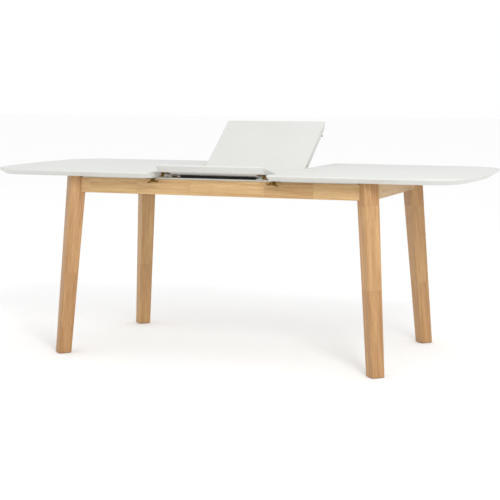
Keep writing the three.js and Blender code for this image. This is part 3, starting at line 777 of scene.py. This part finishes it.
def screws_on_top(sign_x):
    """Lock plates and runners under one half of the top."""
    places = []
    for sign_y, _ in ROWS:
        for x in LOCK_SCREWS_X:
            places.append(((sign_x * x, sign_y * LOCK_SCREW_Y, PLATE_UNDERSIDE), DOWN))
        for x in RUNNER_SCREWS_X:
            places.append(((sign_x * x, sign_y * RUNNER_SCREW_Y, FLANGE_UNDERSIDE), DOWN))
    return places


def screws_on_frame():
    """Corner plates on the aprons, and the pivot brackets on the front guide rail."""
    plates, brackets = [], []
    for sign_x, _ in SIDES:
        for sign_y, _ in ROWS:
            for x in CORNER_SCREWS_X:
                plates.append((
                    (sign_x * x, sign_y * CORNER_FACE_Y, CORNER_SCREW_Z), (0, -sign_y, 0)))
            for y in CORNER_SCREWS_Y:
                plates.append((
                    (sign_x * CORNER_FACE_X, sign_y * y, CORNER_SCREW_Z), (-sign_x, 0, 0)))
        for x in PIVOT_SCREWS_X:
            brackets.append(((sign_x * x, PIVOT_FACE_Y, PIVOT_SCREW_Z), (0, 1, 0)))
    return plates, brackets


def add_fixings():
    front_screws = screws_on_panel_ends(-1) + screws_under_front_leaf()
    grow("screws_of_front_leaf", SCREW_TREE, turned(front_screws, FRONT_LEAF_TURN),
         YELLOW_ZINC, "front_leaf", SMALL_HEAD)
    grow("screws_of_rear_leaf", SCREW_TREE, turned(screws_on_panel_ends(1), REAR_LEAF_TURN),
         YELLOW_ZINC, "rear_leaf", SMALL_HEAD)
    for sign_x, side in SIDES:
        grow(f"screws_of_{side}_top", SCREW_TREE, screws_on_top(sign_x),
             YELLOW_ZINC, f"{side}_top", {"Head Radius": 3.0 * MM})
    plates, brackets = screws_on_frame()
    grow("screws_of_corner_plates", SCREW_TREE, plates, BRIGHT_ZINC, "frame",
         {"Head Radius": 4.2 * MM, "Head Height": 1.8 * MM})
    grow("screws_of_pivot_brackets", SCREW_TREE, brackets, YELLOW_ZINC, "frame",
         {"Head Radius": 2.6 * MM, "Head Height": 1.0 * MM})
    top_pins = [((TOP_EDGE_X, sign_y * y, EDGE_MIDDLE_Z), TO_LEFT)
                for sign_y, _ in ROWS for y in DOWELS_Y]
    front_pins = [((LEAF_EDGE_X, -y, EDGE_MIDDLE_Z), TO_LEFT) for y in DOWELS_Y]
    rear_pins = [((LEAF_EDGE_X, y, EDGE_MIDDLE_Z), TO_LEFT) for y in DOWELS_Y]
    grow("dowels_of_right_top", DOWEL_TREE, top_pins, BEECH, "right_top")
    grow("dowels_of_front_leaf", DOWEL_TREE, turned(front_pins, FRONT_LEAF_TURN),
         BEECH, "front_leaf")
    grow("dowels_of_rear_leaf", DOWEL_TREE, turned(rear_pins, REAR_LEAF_TURN),
         BEECH, "rear_leaf")


add_fixings()

# ------------------------------------------------------------------ floor and light


FLOOR_REACH = 40.0
FLOOR_CLOUDS_PER_METRE = 1.5
SKY_STRENGTH = 1.0
KEY_PLACE = (3.0, -4.2, 3.9)
KEY_TARGET = (0, 0, 0.7)
KEY_SIZE = 1.8
KEY_POWER = 135  # watts


def make_floor():
    """Matt studio paint on a flat floor. It gives an almost white, even ground."""
    material, tree, shader = new_material("matt_white_studio_paint")
    place = add(tree, "ShaderNodeTexCoord").outputs["Object"]
    cloud = add(tree, "ShaderNodeTexNoise", {
        "Vector": place, "Scale": FLOOR_CLOUDS_PER_METRE, "Detail": 4.0,
    })
    tint = add(tree, "ShaderNodeValToRGB", {"Fac": cloud})
    set_ramp(tint, [(0.3, grey(0.97)), (0.7, grey(0.98))])
    feed(tree, shader, {"Base Color": tint, "Roughness": 0.9, "Specular IOR Level": 0.1})
    mesh = bpy.data.meshes.new("studio_floor")
    reach = FLOOR_REACH
    mesh.from_pydata(
        [(-reach, -reach, 0), (reach, -reach, 0), (reach, reach, 0), (-reach, reach, 0)],
        [], [(0, 1, 2, 3)])
    mesh.materials.append(material)
    floor = link("studio_floor", mesh)


def make_light(name, place, target, size, power):
    data = bpy.data.lights.new(name, "AREA")
    data.shape = "DISK"
    data.size = size
    data.energy = power
    lamp = bpy.data.objects.new(name, data)
    lamp.location = place
    aim = Vector(target) - Vector(place)
    lamp.rotation_euler = aim.to_track_quat("-Z", "Y").to_euler()
    bpy.context.scene.collection.objects.link(lamp)


def make_sky(strength):
    world = bpy.data.worlds.new("studio_tent")
    world.use_nodes = True
    tree = world.node_tree
    tree.nodes.clear()
    back = add(tree, "ShaderNodeBackground", {"Color": grey(1.0), "Strength": strength})
    add(tree, "ShaderNodeOutputWorld", {"Surface": back})
    bpy.context.scene.world = world


make_camera()
make_floor()
make_sky(SKY_STRENGTH)
make_light("key_softbox", KEY_PLACE, KEY_TARGET, KEY_SIZE, KEY_POWER)
bpy.context.scene.view_settings.view_transform = "Standard"
